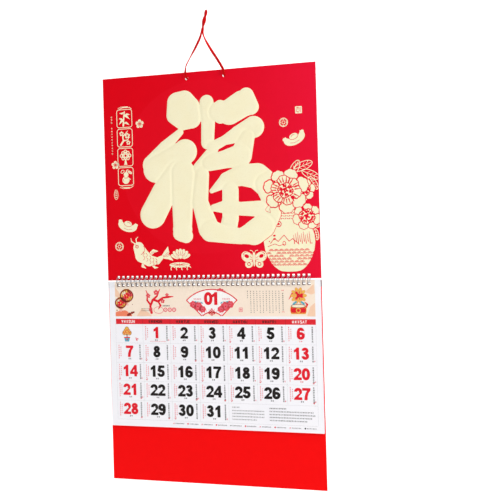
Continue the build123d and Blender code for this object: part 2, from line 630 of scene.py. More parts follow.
def layered(shapes, gap):
    # each shape covers those before it, with a gap drawn round it

    def distance(x, z):
        total = np.full(np.shape(x), farOff)
        for shape in shapes:
            here = shape(x, z)
            total = np.minimum(np.maximum(total, gap - here), here)
        return total

    return distance


def traceShape(shape, area, step):
    # cells of a grid clipped to a shape: points in mm, and faces that go round anticlockwise
    x0, x1, z0, z1 = area
    xs = np.arange(x0 - step, x1 + 1.5 * step, step)
    zs = np.arange(z0 - step, z1 + 1.5 * step, step)
    gx, gz = np.meshgrid(xs, zs, indexing="ij")
    depth = shape(gx, gz)
    least = 0.03 * step
    depth = np.where(np.abs(depth) < least, np.where(depth < 0, -least, least), depth)
    depth[:, 0] = depth[:, -1] = least
    depth[0, :] = depth[-1, :] = least
    isIn = depth < 0
    points, found, faces = [], {}, []

    def corner(at):
        if at not in found:
            found[at] = len(points)
            points.append((xs[at[0]], zs[at[1]]))
        return found[at]

    def crossing(a, b):
        key = (a, b) if a < b else (b, a)
        if key not in found:
            a, b = key
            share = depth[a] / (depth[a] - depth[b])
            found[key] = len(points)
            px = xs[a[0]] + share * (xs[b[0]] - xs[a[0]])
            pz = zs[a[1]] + share * (zs[b[1]] - zs[a[1]])
            points.append((px, pz))
        return found[key]

    some = isIn[:-1, :-1] | isIn[1:, :-1] | isIn[1:, 1:] | isIn[:-1, 1:]
    for i, j in np.argwhere(some).tolist():
        ring = [(i, j), (i + 1, j), (i + 1, j + 1), (i, j + 1)]
        face = []
        for a, b in zip(ring, ring[1:] + ring[:1]):
            if isIn[a]:
                face.append(corner(a))
            if isIn[a] != isIn[b]:
                face.append(crossing(a, b))
        faces.append(face)
    return points, faces


# angles of petals round a flower
fifths = [math.radians(90 + 72 * i) for i in range(5)]
sevenths = [math.radians(360 * i / 7) for i in range(7)]
tenths = [math.radians(36 * i) for i in range(10)]


def gridCells(xs, zs, skip=None):
    # a rectangle in cells between given lines, with cells left out for holes
    points = [(x, z) for x in xs for z in zs]
    rows = len(zs)
    faces = []
    for i in range(len(xs) - 1):
        for j in range(len(zs) - 1):
            if skip and skip(i, j):
                continue
            a = i * rows + j
            faces.append([a, a + rows, a + rows + 1, a + 1])
    return points, faces


def evenLines(low, high, most):
    count = max(1, math.ceil((high - low) / most))
    return [low + (high - low) * i / count for i in range(count + 1)]


class Layer:
    # thin closed solids in one ink or foil, gathered into one piece
    def __init__(self, name, body, slot, material, surface, lift, sunk=0.03):
        self.name, self.body, self.slot, self.material = name, body, slot, material
        self.surface, self.lift, self.sunk = surface, lift, sunk
        self.points, self.faces = [], []

    def add(self, flat):
        points, faces = flat
        start = len(self.points)
        self.points.extend(points)
        self.faces.extend([[start + i for i in face] for face in faces])

    def shape(self, shape, area, step=0.7):
        self.add(traceShape(shape, area, step))

    def rect(self, x0, z0, x1, z1, most=12.0):
        self.add(gridCells(evenLines(x0, x1, most), evenLines(z0, z1, most)))

    def make(self, smooth=None):
        flat = np.array(self.points, float)
        x, z = flat[:, 0], flat[:, 1]
        lift = self.lift(x, z) if callable(self.lift) else self.lift
        base = self.surface(x, z)
        depths = (base - lift, base + self.sunk)
        front, back = (np.stack([x * mm + middleX, y * mm, z * mm + hingeZ], axis=1) for y in depths)
        count = len(flat)
        edges = {}
        for face in self.faces:
            for a, b in zip(face, face[1:] + face[:1]):
                if (b, a) in edges:
                    del edges[b, a]
                else:
                    edges[a, b] = True
        faces = list(self.faces)
        faces += [[i + count for i in reversed(face)] for face in self.faces]
        faces += [[b, a, a + count, b + count] for a, b in edges]
        mesh = bpy.data.meshes.new(self.name)
        mesh.from_pydata(np.concatenate([front, back]).tolist(), [], faces)
        if smooth:
            mesh.polygons.foreach_set("use_smooth", [True] * len(mesh.polygons))
            mesh.set_sharp_from_angle(angle=math.radians(smooth))
        mesh.update()
        return link(self.name, mesh, self.body, self.slot, self.material)


cardPlan = {"thickness": 1.5, "softEdge": 0.14}


def cardFace(x, z):
    return np.full(np.shape(x), -cardPlan["thickness"] / 2)


holePlan = {
    "count": 40,
    "pitch": 8.47,
    "side": 4.2,
    "corner": 0.5,
    "edge": 5.2,  # from the card's or sheet's edge to the holes' centres
    "hangSpacing": 65,
    "hangDrop": 10,
    "hangRadius": 2.75,
}
headerHeight = (headerHigh.z - hingeZ) / mm
boardHalf = (headerHigh.x - headerLow.x) / 2 / mm
holeMiddles = [(i - (holePlan["count"] - 1) / 2) * holePlan["pitch"] for i in range(holePlan["count"])]


def loopOf(curve, places):
    spline = curve.splines.new("POLY")
    spline.points.add(len(places) - 1)
    for point, (x, z) in zip(spline.points, places):
        point.co = (x * mm, z * mm, 0, 1)
    spline.use_cyclic_u = True


def roundedSquare(cx, cz, side, corner):
    places = []
    for quarter in range(4):
        middle = math.radians(90 * quarter + 45)
        px = cx + math.copysign(side / 2 - corner, math.cos(middle))
        pz = cz + math.copysign(side / 2 - corner, math.sin(middle))
        places += [around(px, pz, corner, math.radians(90 * quarter + 45 * step)) for step in range(3)]
    return places


def cardMesh(name, half, bottom, top, holes, plan):
    soft = plan["softEdge"]
    curve = bpy.data.curves.new(name, "CURVE")
    curve.dimensions = "2D"
    curve.fill_mode = "BOTH"
    loopOf(curve, [(-half, bottom), (half, bottom), (half, top), (-half, top)])
    for places in holes:
        loopOf(curve, places)
    curve.extrude = (plan["thickness"] / 2 - soft) * mm
    curve.bevel_depth = soft * mm
    curve.bevel_resolution = 1
    curve.offset = -soft * mm
    mesh = meshOf(curve)
    mesh.transform(Matrix.Translation((middleX, 0, hingeZ)) @ Matrix.Rotation(math.pi / 2, 4, "X"))
    return mesh


def hangingHoles():
    cz = headerHeight - holePlan["hangDrop"]
    ring = [2 * math.pi * i / 28 for i in range(28)]
    sides = [side * holePlan["hangSpacing"] / 2 for side in (-1, 1)]
    return [[around(cx, cz, holePlan["hangRadius"], a) for a in ring] for cx in sides]


squareHoles = [
    roundedSquare(x, holePlan["edge"], holePlan["side"], holePlan["corner"]) for x in holeMiddles
]
headerMesh = cardMesh("headerCard", boardHalf, 0, headerHeight, squareHoles + hangingHoles(), cardPlan)
headerCard = link("headerCard", headerMesh, "header", "header_card", headerRed)
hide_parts("header_board")
for node, material in (("back_board", boardRed), ("wire_binding", wireMetal)):
    data = frame["nodes"][node].data
    data.materials.clear()
    data.materials.append(material)
print("cards made")


# the raised character, its strokes drawn round its own middle
reliefPlan = {
    "z": 192.0,
    "height": 0.78,
    "edge": 0.14,
    "roll": 5.0,  # width of the rounded shoulder
    "groove": 0.8,
    "grooveWidth": 2.2,
    "step": 1.15,
}
reliefStrokes = [
    [(-42, 93, 23), (-36, 84, 23)],
    [(-47, 54, 6), (-75, 31, 10), (-97, 2, 18)],
    [(-92, -6, 22), (-52, 11, 23), (-39, 21, 21)],
    [(-52, -13, 21), (-77, -44, 22), (-99, -82, 23)],
    [(-43, -14, 21), (-46, -70, 18), (-47, -113, 16)],
    [(-16, -6, 9), (4, 12, 11), (12, 24, 8)],
    [(1, 101, 12), (3, 70, 12), (1, 34, 11)],
    [(22, 84, 17), (40, 82, 21), (62, 94, 22)],
    [(8, 26, 9), (30, 36, 8), (54, 45, 14), (80, 55, 18)],
    [(70, 40, 12), (58, 12, 19)],
    [(4, 0, 13), (30, 5, 15), (57, 10, 19)],
    [(-10, -18, 12), (-15, -64, 14), (-1, -108, 18)],
    [(6, -46, 4), (32, -29, 13), (60, -22, 18), (84, -25, 21), (101, -40, 21)],
    [(101, -40, 21), (107, -62, 17), (104, -86, 18), (92, -106, 20)],
    [(38, -46, 14), (37, -92, 14), (31, -116, 15)],
    [(9, -74, 6), (32, -73, 12), (54, -77, 11), (86, -78, 13)],
    [(2, -112, 18), (30, -119, 14), (54, -122, 13), (76, -117, 20), (92, -106, 20)],
]
# squarer brush ends, added to the strokes of these numbers
reliefCorners = {
    0: [
        [
            (-51, 104, 17), (-55, 83, 15), (-41, 71, 14), (-26, 76, 17), (-27, 95, 16), (-38, 106, 17),
            (-51, 104, 17),
        ]
    ],
    4: [[(-47, -108, 17), (-52, -115, 12), (-41, -119, 12), (-47, -108, 17)]],
    7: [
        [(60, 95, 22), (69, 107, 13), (77, 88, 13), (60, 90, 21)],
        [(40, 82, 20), (24, 92, 11), (25, 77, 13)],
    ],
}


def reliefShape():
    strokes = []
    for i, points in enumerate(reliefStrokes):
        shape = join(*chain(points, *reliefCorners.get(i, [])))
        strokes.append(moved(shape, 0, reliefPlan["z"]))
    return strokes, join(*strokes)


def reliefLift(strokes):
    # strokes swell in writing order, and each presses a soft groove where it crosses the last

    def lift(x, z):
        height = np.zeros(np.shape(x))
        for shape in strokes:
            edge = shape(x, z)
            groove = 1 - reliefPlan["groove"] * np.exp(-((edge / reliefPlan["grooveWidth"]) ** 2))
            share = np.clip(-edge / reliefPlan["roll"], 0, 1)
            height = np.maximum(height * groove, np.sqrt(1 - (1 - share) ** 2) * groove)
        return reliefPlan["edge"] + (reliefPlan["height"] - reliefPlan["edge"]) * height

    return lift


reliefParts, characterShape = reliefShape()


leafPlan = {
    "count": 13,
    "pitch": 0.115,
    "thickness": 0.1,
    "width": 367.0,
    "flat": 14,  # of each leaf below the binding, before it curls
    "curl": 2.4,
    "slack": 1.1,  # by which the holes reach lower than they are wide
    "uneven": 0.35,  # between the leaves' lower edges
    "unevenSide": 0.3,
}
leafTop = (sheetsHigh.z - hingeZ) / mm
leafBottom = (sheetsLow.z - hingeZ) / mm
leafFront = sheetsLow.y / mm
leafHalf = leafPlan["width"] / 2
curlTop = leafTop - leafPlan["flat"]


def leafFace(index):
    # how far forward each leaf lies, curling a little towards its lower corners
    ease = leafPlan["curl"] * (1 - 0.75 * index / (leafPlan["count"] - 1))

    def face(x, z):
        down = np.clip((curlTop - z) / (curlTop - leafBottom), 0, 1)
        side = np.clip(x / leafHalf, -1, 1)
        lip = 0.22 + 0.55 * np.maximum(side, 0) ** 2 + 0.3 * np.minimum(side, 0) ** 2
        return leafFront + index * leafPlan["pitch"] - ease * lip * down**2.4

    return face


def holeLines(low, high):
    # grid lines across a sheet, past the sides of its binding holes, and those at the holes' ends
    side = holePlan["side"] / 2
    rowZ = leafTop - holePlan["edge"]
    xs = [low] + [x + s for x in holeMiddles for s in (-side - leafPlan["slack"], side)] + [high]
    return xs, [rowZ - side - leafPlan["slack"], rowZ + side]


def sheetLayer(name, material, *looks):
    return Layer(name, "sheets", "sheet_paper", material, *looks)


def makeLeaves():
    xs, holeEnds = holeLines(-leafHalf, leafHalf)
    lower = evenLines(leafBottom, curlTop, 11.0)
    zs = [*lower, *holeEnds, leafTop]
    holeRow = len(lower)

    def isHole(i, j):
        return j == holeRow and i % 2 == 1

    for index in range(leafPlan["count"]):
        trim = leafPlan["uneven"] * dice.random() if index else 0.0
        leaf = sheetLayer(f"leaf{index + 1:02d}", paper, leafFace(index), 0.0, leafPlan["thickness"])
        shortened = [leafBottom + trim] + zs[1:]
        inset = leafPlan["unevenSide"] * dice.random() if index else 0.0
        spread = [xs[0] + inset] + xs[1:-1] + [xs[-1] - inset]
        leaf.add(gridCells(spread, shortened, isHole))
        made = leaf.make(40)
        if not index:
            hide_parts("month_sheets")


makeLeaves()
print("sheets made")
pageFace = leafFace(0)

# inks with their heights in mm above the sheet, so that each covers those before it
pageLayers = {
    name: sheetLayer(name + "Print", inkMaterials[name.removesuffix("Top")], pageFace, lift)
    for name, lift in (
        ("peach", 0.03),
        ("peachDeep", 0.04),
        ("strip", 0.04),
        ("line", 0.04),
        ("white", 0.05),
        ("orange", 0.06),
        ("red", 0.07),
        ("gold", 0.08),
        ("rose", 0.09),
        ("pink", 0.1),
        ("cream", 0.1),
        ("brown", 0.11),
        ("cyan", 0.12),
        ("grey", 0.12),
        ("redTop", 0.13),
        ("black", 0.13),
    )
}

# bold figures, each drawn round its own middle, 12.2 mm wide and 18.6 mm high
figurePlan = {"bold": 0.4, "wide": 1.06, "pitch": 13.6, "half": 1.95, "area": (-7.6, 7.6, -10.4, 10.4)}


def ringShape(cx, cz, rx, rz, half):
    return rim(oval(cx, cz, rx, rz), half)


def figureShapes():
    half = figurePlan["half"]
    six = join(
        ringShape(0.1, -3.6, 3.9, 3.75, half),
        cut(ringShape(0.2, 0.0, 4.0, 7.35, half), block(3.5, -1.6, 6.0, 12.4), block(0, -8, 16, 9)),
    )
    return {
        "0": ringShape(0, 0, 4.0, 7.35, half),
        "1": outline(
            [
                (-1.1, -9.3), (2.9, -9.3), (2.9, 9.3), (-0.2, 9.3), (-1.6, 7.2), (-4.4, 5.3), (-4.4, 1.8),
                (-1.1, 3.6),
            ]
        ),
        "2": join(
            arc(0.1, 3.65, 3.75, -32, 178, half),
            outline([(1.6, 0.2), (4.7, 2.9), (5.0, 1.2), (-0.4, -5.8), (-5.9, -7.2)]),
            outline([(-6.0, -9.3), (6.0, -9.3), (6.0, -5.7), (-1.2, -5.7), (-5.9, -7.6)]),
        ),
        "3": join(
            arc(-0.3, 4.55, 2.95, -85, 172, 1.85),
            arc(-0.3, -3.95, 3.5, -172, 85, 1.9),
            block(-0.9, 0.75, 2.6, 3.2),
        ),
        "4": cut(
            outline(
                [
                    (1.1, -9.3), (4.8, -9.3), (4.8, -5.4), (6.5, -5.4), (6.5, -2.0), (4.8, -2.0),
                    (4.8, 9.3), (1.6, 9.3), (-6.3, -2.2), (-6.3, -5.4), (1.1, -5.4),
                ]
            ),
            outline([(1.1, -2.0), (-2.9, -2.0), (1.1, 4.0)]),
        ),
        "5": join(
            outline([(-4.0, 9.3), (-0.4, 5.8), (-1.5, 0.8), (-5.6, 0.1)]),
            outline([(-4.0, 9.3), (5.2, 9.3), (5.2, 5.8), (-2.4, 5.8)]),
            arc(-0.3, -3.4, 3.95, -172, 140, half),
        ),
        "6": six,
        "7": outline(
            [
                (-6.0, 9.3), (6.0, 9.3), (6.0, 6.4), (2.8, 1.4), (1.5, -4.0), (1.1, -9.3), (-2.9, -9.3),
                (-2.3, -3.4), (-0.7, 1.6), (1.9, 5.8), (-6.0, 5.8),
            ]
        ),
        "8": join(ringShape(0, 4.75, 2.95, 2.65, 1.8), ringShape(0, -3.95, 3.7, 3.45, 1.9)),
        "9": moved(six, 0, 0, 1, 180),
    }


def pick(*names):
    return [pageLayers[name] for name in names]


figures = figureShapes()
figureFlats = {
    key: traceShape(grown(shape, figurePlan["bold"]), figurePlan["area"], 0.6)
    for key, shape in figures.items()
}


def writeFigures(layer, text, cx, cz, size=1.0, pitch=figurePlan["pitch"]):
    start = cx - pitch * size * (len(text) - 1) / 2
    for i, key in enumerate(text):
        points, faces = figureFlats[key]
        shift = start + i * pitch * size
        layer.add(([(x * size * figurePlan["wide"] + shift, z * size + cz) for x, z in points], faces))


def mark(layer, cx, cz, size):
    # small print that can't be read: three short dashes, and sometimes an upright
    tall = dice.random() < 0.5
    weight = size * 0.22
    for share in (-0.36, 0.0, 0.36):
        width = size * dice.uniform(0.55, 1.0)
        at = cz + share * size
        layer.rect(cx - width / 2, at - weight / 2, cx + width / 2, at + weight / 2)
    if tall:
        layer.rect(cx - weight / 2, cz - size / 2, cx + weight / 2, cz + size / 2)


def marksDown(layer, cx, top, count, size, pitch):
    for i in range(count):
        mark(layer, cx, top - (i + 0.5) * pitch, size)


def marksAcross(layer, left, cz, count, size, pitch):
    for i in range(count):
        mark(layer, left + (i + 0.5) * pitch, cz, size)


gridPlan = {
    "left": -172.9,
    "right": 174.0,
    "rows": [-74.5, -106.5, -139.4, -171.2, -203.8, -236.2],
    "stripTop": -65.4,
    "stripBottom": -74.4,
    "bandLeft": -172.7,
    "holesBottom": -13.8,
    "bandBottom": -61.2,
    "lineWidth": 0.28,
    "dash": 1.2,
}
cellWidth = (gridPlan["right"] - gridPlan["left"]) / 7
# weekday letters on a grid 2 wide and 3 high
letterStrokes = {
    "S": [
        [
            (2, 2.7), (1.4, 3), (0.5, 3), (0, 2.4), (0.4, 1.7), (1.6, 1.3), (2, 0.7), (1.5, 0), (0.5, 0),
            (0, 0.4),
        ]
    ],
    "U": [[(0, 3), (0, 0.7), (0.5, 0), (1.5, 0), (2, 0.7), (2, 3)]],
    "N": [[(0, 0), (0, 3), (2, 0), (2, 3)]],
    "M": [[(0, 0), (0, 3), (1, 1.2), (2, 3), (2, 0)]],
    "O": [[(0.5, 0), (0, 0.8), (0, 2.2), (0.5, 3), (1.5, 3), (2, 2.2), (2, 0.8), (1.5, 0), (0.5, 0)]],
    "T": [[(0, 3), (2, 3)], [(1, 3), (1, 0)]],
    "E": [[(2, 3), (0, 3), (0, 0), (2, 0)], [(0, 1.5), (1.6, 1.5)]],
    "W": [[(0, 3), (0.5, 0), (1, 2), (1.5, 0), (2, 3)]],
    "D": [[(0, 0), (0, 3), (1.2, 3), (2, 2.2), (2, 0.8), (1.2, 0), (0, 0)]],
    "H": [[(0, 0), (0, 3)], [(2, 0), (2, 3)], [(0, 1.5), (2, 1.5)]],
    "F": [[(0, 0), (0, 3), (2, 3)], [(0, 1.6), (1.6, 1.6)]],
    "R": [[(0, 0), (0, 3), (1.5, 3), (2, 2.4), (1.5, 1.5), (0, 1.5)], [(1, 1.5), (2, 0)]],
    "I": [[(1, 0), (1, 3)]],
    "A": [[(0, 0), (1, 3), (2, 0)], [(0.4, 1), (1.6, 1)]],
}


def letters(layer, text, left, bottom, size):
    for i, key in enumerate(text):
        at = left + i * size * 2.9
        shapes = [
            line([(at + px * size, bottom + pz * size) for px, pz in points], size * 0.3)
            for points in letterStrokes[key]
        ]
        layer.shape(join(*shapes), (at - size, at + 3 * size, bottom - size, bottom + 4 * size), 0.3)


def weekdayStrip():
    strip, white, black = pick("strip", "white", "black")
    left, right = gridPlan["left"] + 0.6, gridPlan["right"]
    strip.rect(left, gridPlan["stripBottom"], right, gridPlan["stripTop"])
    middle = (gridPlan["stripTop"] + gridPlan["stripBottom"]) / 2
    for i, name in enumerate(("SUN", "MON", "TUE", "WED", "THU", "FRI", "SAT")):
        layer = white if i in (0, 6) else black
        at = gridPlan["left"] + (i + 0.5) * cellWidth
        marksAcross(layer, at - 14.5, middle, 3, 3.9, 4.4)
        letters(layer, name, at - 0.5, middle - 2.1, 1.35)
        if i:
            edge = gridPlan["left"] + i * cellWidth
            black.rect(edge - 0.12, middle - 4.2, edge + 0.12, middle + 4.2)


def dottedLines():
    layer = pageLayers["line"]
    rows, half, dash = gridPlan["rows"], gridPlan["lineWidth"] / 2, gridPlan["dash"]
    for z in rows[1:]:
        x = gridPlan["left"]
        while x < gridPlan["right"] - dash:
            layer.rect(x, z - half, x + dash * 0.62, z + half)
            x += dash
    for i in range(8):
        x = gridPlan["left"] + i * cellWidth
        z = rows[0]
        last = rows[5] if i not in (5, 6) else rows[4]
        while z > last + dash:
            layer.rect(x - half, z - dash * 0.62, x + half, z)
            z -= dash


def dayCells():
    red, black, grey, pink = pick("red", "black", "grey", "pink")
    for day in range(1, 32):
        column, row = day % 7, day // 7
        left = gridPlan["left"] + column * cellWidth
        top = gridPlan["rows"][row]
        festive = column in (0, 6) or day == 1
        writeFigures(red if festive else black, str(day), left + 24.4, top - 14.1)
        marksAcross(red if day in (6, 20) else grey, left + 21.4, top - 26.6, 2, 2.2, 2.9)
        marksDown(pink, left + 5.0, top - 2.6, 7, 2.1, 3.5)
        marksDown(pink, left + 8.4, top - 5.6, 5, 1.9, 3.5)
        marksDown(grey, left + 43.4, top - 2.2, 7, 2.7, 3.75)
        if dice.random() < 0.6:
            mark(pink, left + 46.2, top - 26.5, 2.2)
        corner = dice.choice((left + 5.2, left + 43.6))
        tick = [(corner - 1.3, top - 28.0), (corner, top - 29.6), (corner + 1.4, top - 27.2)]
        if dice.random() < 0.75:
            red.shape(line(tick, 0.45), (corner - 3, corner + 3, top - 31, top - 26), 0.4)


def smallPrint():
    red, black, grey = pick("red", "black", "grey")
    for z, count in ((-210.0, 5), (-215.4, 21), (-220.2, 21), (-225.0, 21), (-229.8, 16)):
        marksAcross(grey, 30.6, z, count, 1.7, 2.62)
    for z, count in ((-210.0, 11), (-215.0, 28), (-219.8, 29), (-224.6, 27), (-229.4, 24)):
        marksAcross(grey, 93.6, z, count, 1.9, 2.62)
    left = -73.0
    for group in range(10):
        size = (0.9, 1.3)[group % 2]
        layer = red if group % 5 < 4 else black
        layer.shape(disc(left + 1.4, -240.4, size), (left - 1, left + 4, -243, -238), 0.4)
        marksAcross(grey if group else black, left + 3.8, -240.4, 7, 1.6, 2.3)
        left += 24.9
    marksAcross(red, -111.0, -103.4, 14, 1.3, 2.1)


weekdayStrip()
dottedLines()
dayCells()
smallPrint()
print("dates printed")


def bandTint():
    # below the binding holes, and between them to the sheet's top edge
    layer = pageLayers["peach"]
    layer.rect(gridPlan["bandLeft"], gridPlan["bandBottom"], gridPlan["right"], gridPlan["holesBottom"])
    xs, holeEnds = holeLines(gridPlan["bandLeft"], gridPlan["right"])
    zs = [gridPlan["holesBottom"], *holeEnds, leafTop - 0.2]
    layer.add(gridCells(xs, zs, lambda i, j: j == 1 and i % 2 == 1))


bandTint()

# the sheet's top band: lanterns, a blossom spray, the month's fan, verse columns and a drum

lanterns = [(-151.4, -26.2, 11.4), (-162.6, -38.4, 9.6)]


def lanternArt():
    brown, gold, rose, red, orange, cream = pick("brown", "gold", "rose", "redTop", "orange", "cream")
    for cx, cz, radius in lanterns:
        area = (cx - radius - 3, cx + radius + 3, cz - radius - 8, cz + radius + 4)
        body = oval(cx, cz, radius, radius * 0.9)
        gold.shape(body, area)
        shade = [
            arc(cx - radius * 0.1, cz, radius * 0.8, 200, 300, 0.9), arc(cx, cz, radius * 0.72, 20, 80, 0.9)
        ]
        brown.shape(join(*shade), area)
        shine = oval(cx - radius * 0.35, cz + radius * 0.3, radius * 0.4, radius * 0.34)
        cream.shape(inside(body, shine), area)
        blush = discs(
            (cx + radius * 0.55, cz + radius * 0.25, radius * 0.44),
            (cx - radius * 0.35, cz - radius * 0.45, radius * 0.4),
        )
        rose.shape(inside(blush, body), area)
        brown.shape(rim(body, 1.1), area)
        ribs = [rim(oval(cx, cz, radius * share, radius * 0.9), 0.45) for share in (0.25, 0.62)]
        brown.shape(inside(join(*ribs), body), area)
        gold.shape(block(cx, cz + radius * 0.92, radius * 0.9, 2.4, 0.8), area)
        gold.shape(block(cx, cz - radius * 0.92, radius * 0.9, 2.4, 0.8), area)
        petals = [oval(*around(cx, cz, 3.4, a), 2.4, 1.6, math.degrees(a)) for a in fifths]
        red.shape(join(*petals), area, 0.5)
        tassels = [
            line([(cx + d, cz - radius), (cx + d * 1.5, cz - radius - 5)], 0.35) for d in (-1.5, 0, 1.5)
        ]
        red.shape(join(*tassels), area, 0.5)
    hills = discs((-166.0, -62.0, 9.5), (-156.0, -60.0, 9.0), (-147.0, -64.0, 7.5))
    frame = block(-157.5, -54.0, 30.0, 14.4)
    orange.shape(inside(hills, frame), (-173, -138, -61.4, -46), 0.6)
    clouds = discs((-146.5, -57.4, 2.7), (-142.2, -55.2, 2.1), (-139.0, -54.2, 1.6), (-149.6, -59.0, 2.0))
    brown.shape(clouds, (-154, -136, -62, -51), 0.5)
    brown.shape(discs((-169.8, -50.8, 1.0), (-141.0, -41.0, 0.7)), (-172, -139, -53, -39), 0.4)
    folds = pageLayers["peachDeep"]
    folds.shape(outline([(-172.6, -11), (-172.6, -27), (-160, -32), (-166, -20)]), (-173, -158, -33, -10))
    folds.shape(outline([(-134, -61), (-124, -47), (-112, -55), (-106, -61)]), (-136, -104, -61.2, -45))
    folds.shape(outline([(172, -9), (158, -22), (168, -26), (173.6, -24)]), (156, 174, -28, -8))
    folds.shape(outline([(173.6, -61), (160, -61), (166, -45), (173.6, -39)]), (158, 174, -61.2, -37))


def blossomSpray():
    # a brushed plum branch in place of a greeting
    red, pink, grey, rose = pick("red", "pink", "grey", "rose")
    area = (-122, -62, -58, -12)
    branch = [
        stroke(
            [(-106.5, -55, 2.3), (-108.5, -44, 1.8), (-104, -34, 2.1), (-96, -27, 1.5), (-91, -16, 0.8)]
        ),
        stroke([(-108.0, -42, 1.8), (-114, -34, 1.5), (-113, -24, 1.1), (-116, -17, 0.5)]),
        stroke([(-103, -33, 1.8), (-94, -36, 2.2), (-86, -30, 1.5), (-76, -28.6, 1.9), (-67, -28, 0.6)]),
        stroke([(-94, -36, 1.4), (-90, -43, 1.7), (-94, -49, 0.6)]),
    ]
    red.shape(join(*branch), area, 0.5)
    blossoms = [
        (-112, -26.5, 2.6), (-97.5, -21, 2.9), (-86, -35.5, 2.4), (-78, -25.2, 2.0), (-108, -49.5, 2.2)
    ]
    for cx, cz, size in blossoms:
        petals = [disc(*around(cx, cz, size, a), size * 0.62) for a in fifths]
        rose.shape(
            cut(join(disc(cx, cz, size * 0.7), *petals), disc(cx, cz, size * 0.3)),
            (cx - 6, cx + 6, cz - 6, cz + 6),
            0.4,
        )
    for cx in (-81.4, -73.7, -66.0):
        pink.shape(rim(disc(cx, -50.1, 2.9), 0.75), (cx - 5, cx + 5, -55, -45), 0.45)
        mark(red, cx, -50.1, 2.0)
    pink.shape(rim(oval(-93.5, -50.6, 8.6, 5.6), 0.4), (-104, -83, -58, -43), 0.45)
    marksAcross(grey, -125.0, -48.4, 6, 1.5, 2.2)
    marksAcross(grey, -125.0, -51.6, 8, 1.5, 2.2)
    marksAcross(grey, -86.4, -43.4, 5, 2.2, 2.6)


def monthFan():
    white, red, rose, cyan, pink, cream = pick("white", "red", "rose", "cyan", "pink", "cream")
    fanArea = (-49, 49, -60, -12)
    outer, inner, spread = 62.5, 24.0, 45.0
    hub = -78.6
    leaf = arc(0.3, hub, (outer + inner) / 2, 90 - spread, 90 + spread, (outer - inner) / 2)
    white.shape(leaf, fanArea, 0.7)
    red.shape(rim(grown(leaf, -0.4), 0.85), fanArea, 0.6)
    ribs = [ray(0.3, hub, 25.5, 30, math.radians(52 + 9.5 * i), 0.3) for i in range(9)]
    pink.shape(join(*ribs), fanArea, 0.5)
    writeFigures(red, "01", 0.6, -31.6, 1.1, 10.9)
    for left in (-31.4, 18.6):
        marksAcross(pageLayers["pink"], left, -32.4, 5, 2.3, 2.7)
        marksAcross(pageLayers["grey"], left + 1.2, -37.2, 4, 1.6, 2.4)
    for side in (-1, 1):
        flowers = [(31.6, -41.4, 6.0), (16.2, -49.4, 5.6), (24.0, -44.6, 7.4)]
        for cx, cz, size in flowers:
            cx = 0.3 + side * cx
            area = (cx - size * 1.5, cx + size * 1.5, cz - size * 1.4, cz + size * 1.4)
            ring = [disc(*around(cx, cz, size * 0.72, a, 0.86), size * 0.42) for a in sevenths]
            heart = [disc(*around(cx, cz, size * 0.34, a + 0.5, 0.88), size * 0.32) for a in fifths]
            red.shape(join(*ring), area, 0.45)
            rose.shape(layered(ring + heart, 0.3), area, 0.45)
            pink.shape(join(*heart[::2]), area, 0.45)
            pageLayers["redTop"].shape(disc(cx, cz, size * 0.17), area, 0.4)
        tips = [
            oval(0.3 + side * 17.2, -38.6, 2.6, 1.0, side * 40),
            oval(0.3 + side * 27.4, -37.0, 2.2, 0.9, side * 20),
        ]
        cyan.shape(join(*tips), fanArea, 0.5)
    foot = discs(
        (0.3, -52.6, 3.4), (-3.4, -55.2, 2.6), (4.0, -55.2, 2.6), (0.3, -57.2, 2.7), (0.3, -49.4, 1.7)
    )
    red.shape(
        cut(foot, rim(disc(0.3, -53.4, 2.0), 0.35), rim(disc(0.3, -53.4, 4.2), 0.3)), (-8, 8, -61, -46), 0.4
    )
    knotCloud = discs((12.0, -17.6, 2.0), (15.6, -17.0, 2.5), (19.6, -18.2, 2.2), (23.4, -20.4, 1.7))
    rose.shape(knotCloud, (8, 28, -24, -13), 0.45)
    seal = cut(block(50.0, -50.2, 6.4, 6.8, 0.8), block(50, -50.2, 4.9, 5.3, 0.4))
    bars = [block(50, -50.2, 3.4, 0.7), block(50, -50.2, 0.7, 4.2)]
    bars += [block(x, -50.2, 0.6, 3.0) for x in (48.6, 51.4)]
    pink.shape(join(seal, *bars), (45, 55, -55, -45), 0.4)


def verseColumns():
    grey, black, red = pick("grey", "black", "red")
    pitch = (114.9 - 62.3) / 10
    for i in range(11):
        count = 4 if not i else 11 if i % 3 else 10
        marksDown(grey, 62.3 + i * pitch, -18.6, count, 1.6, 3.4)
    marksDown(black, 121.2, -22.4, 9, 2.1, 3.3)
    for z, tip in ((-19.4, -18.2), (-53.4, -54.6)):
        bracket = line([(119.6, tip), (119.6, z), (122.8, z), (122.8, tip)], 0.3)
        red.shape(bracket, (117, 125, z - 3, z + 3), 0.4)


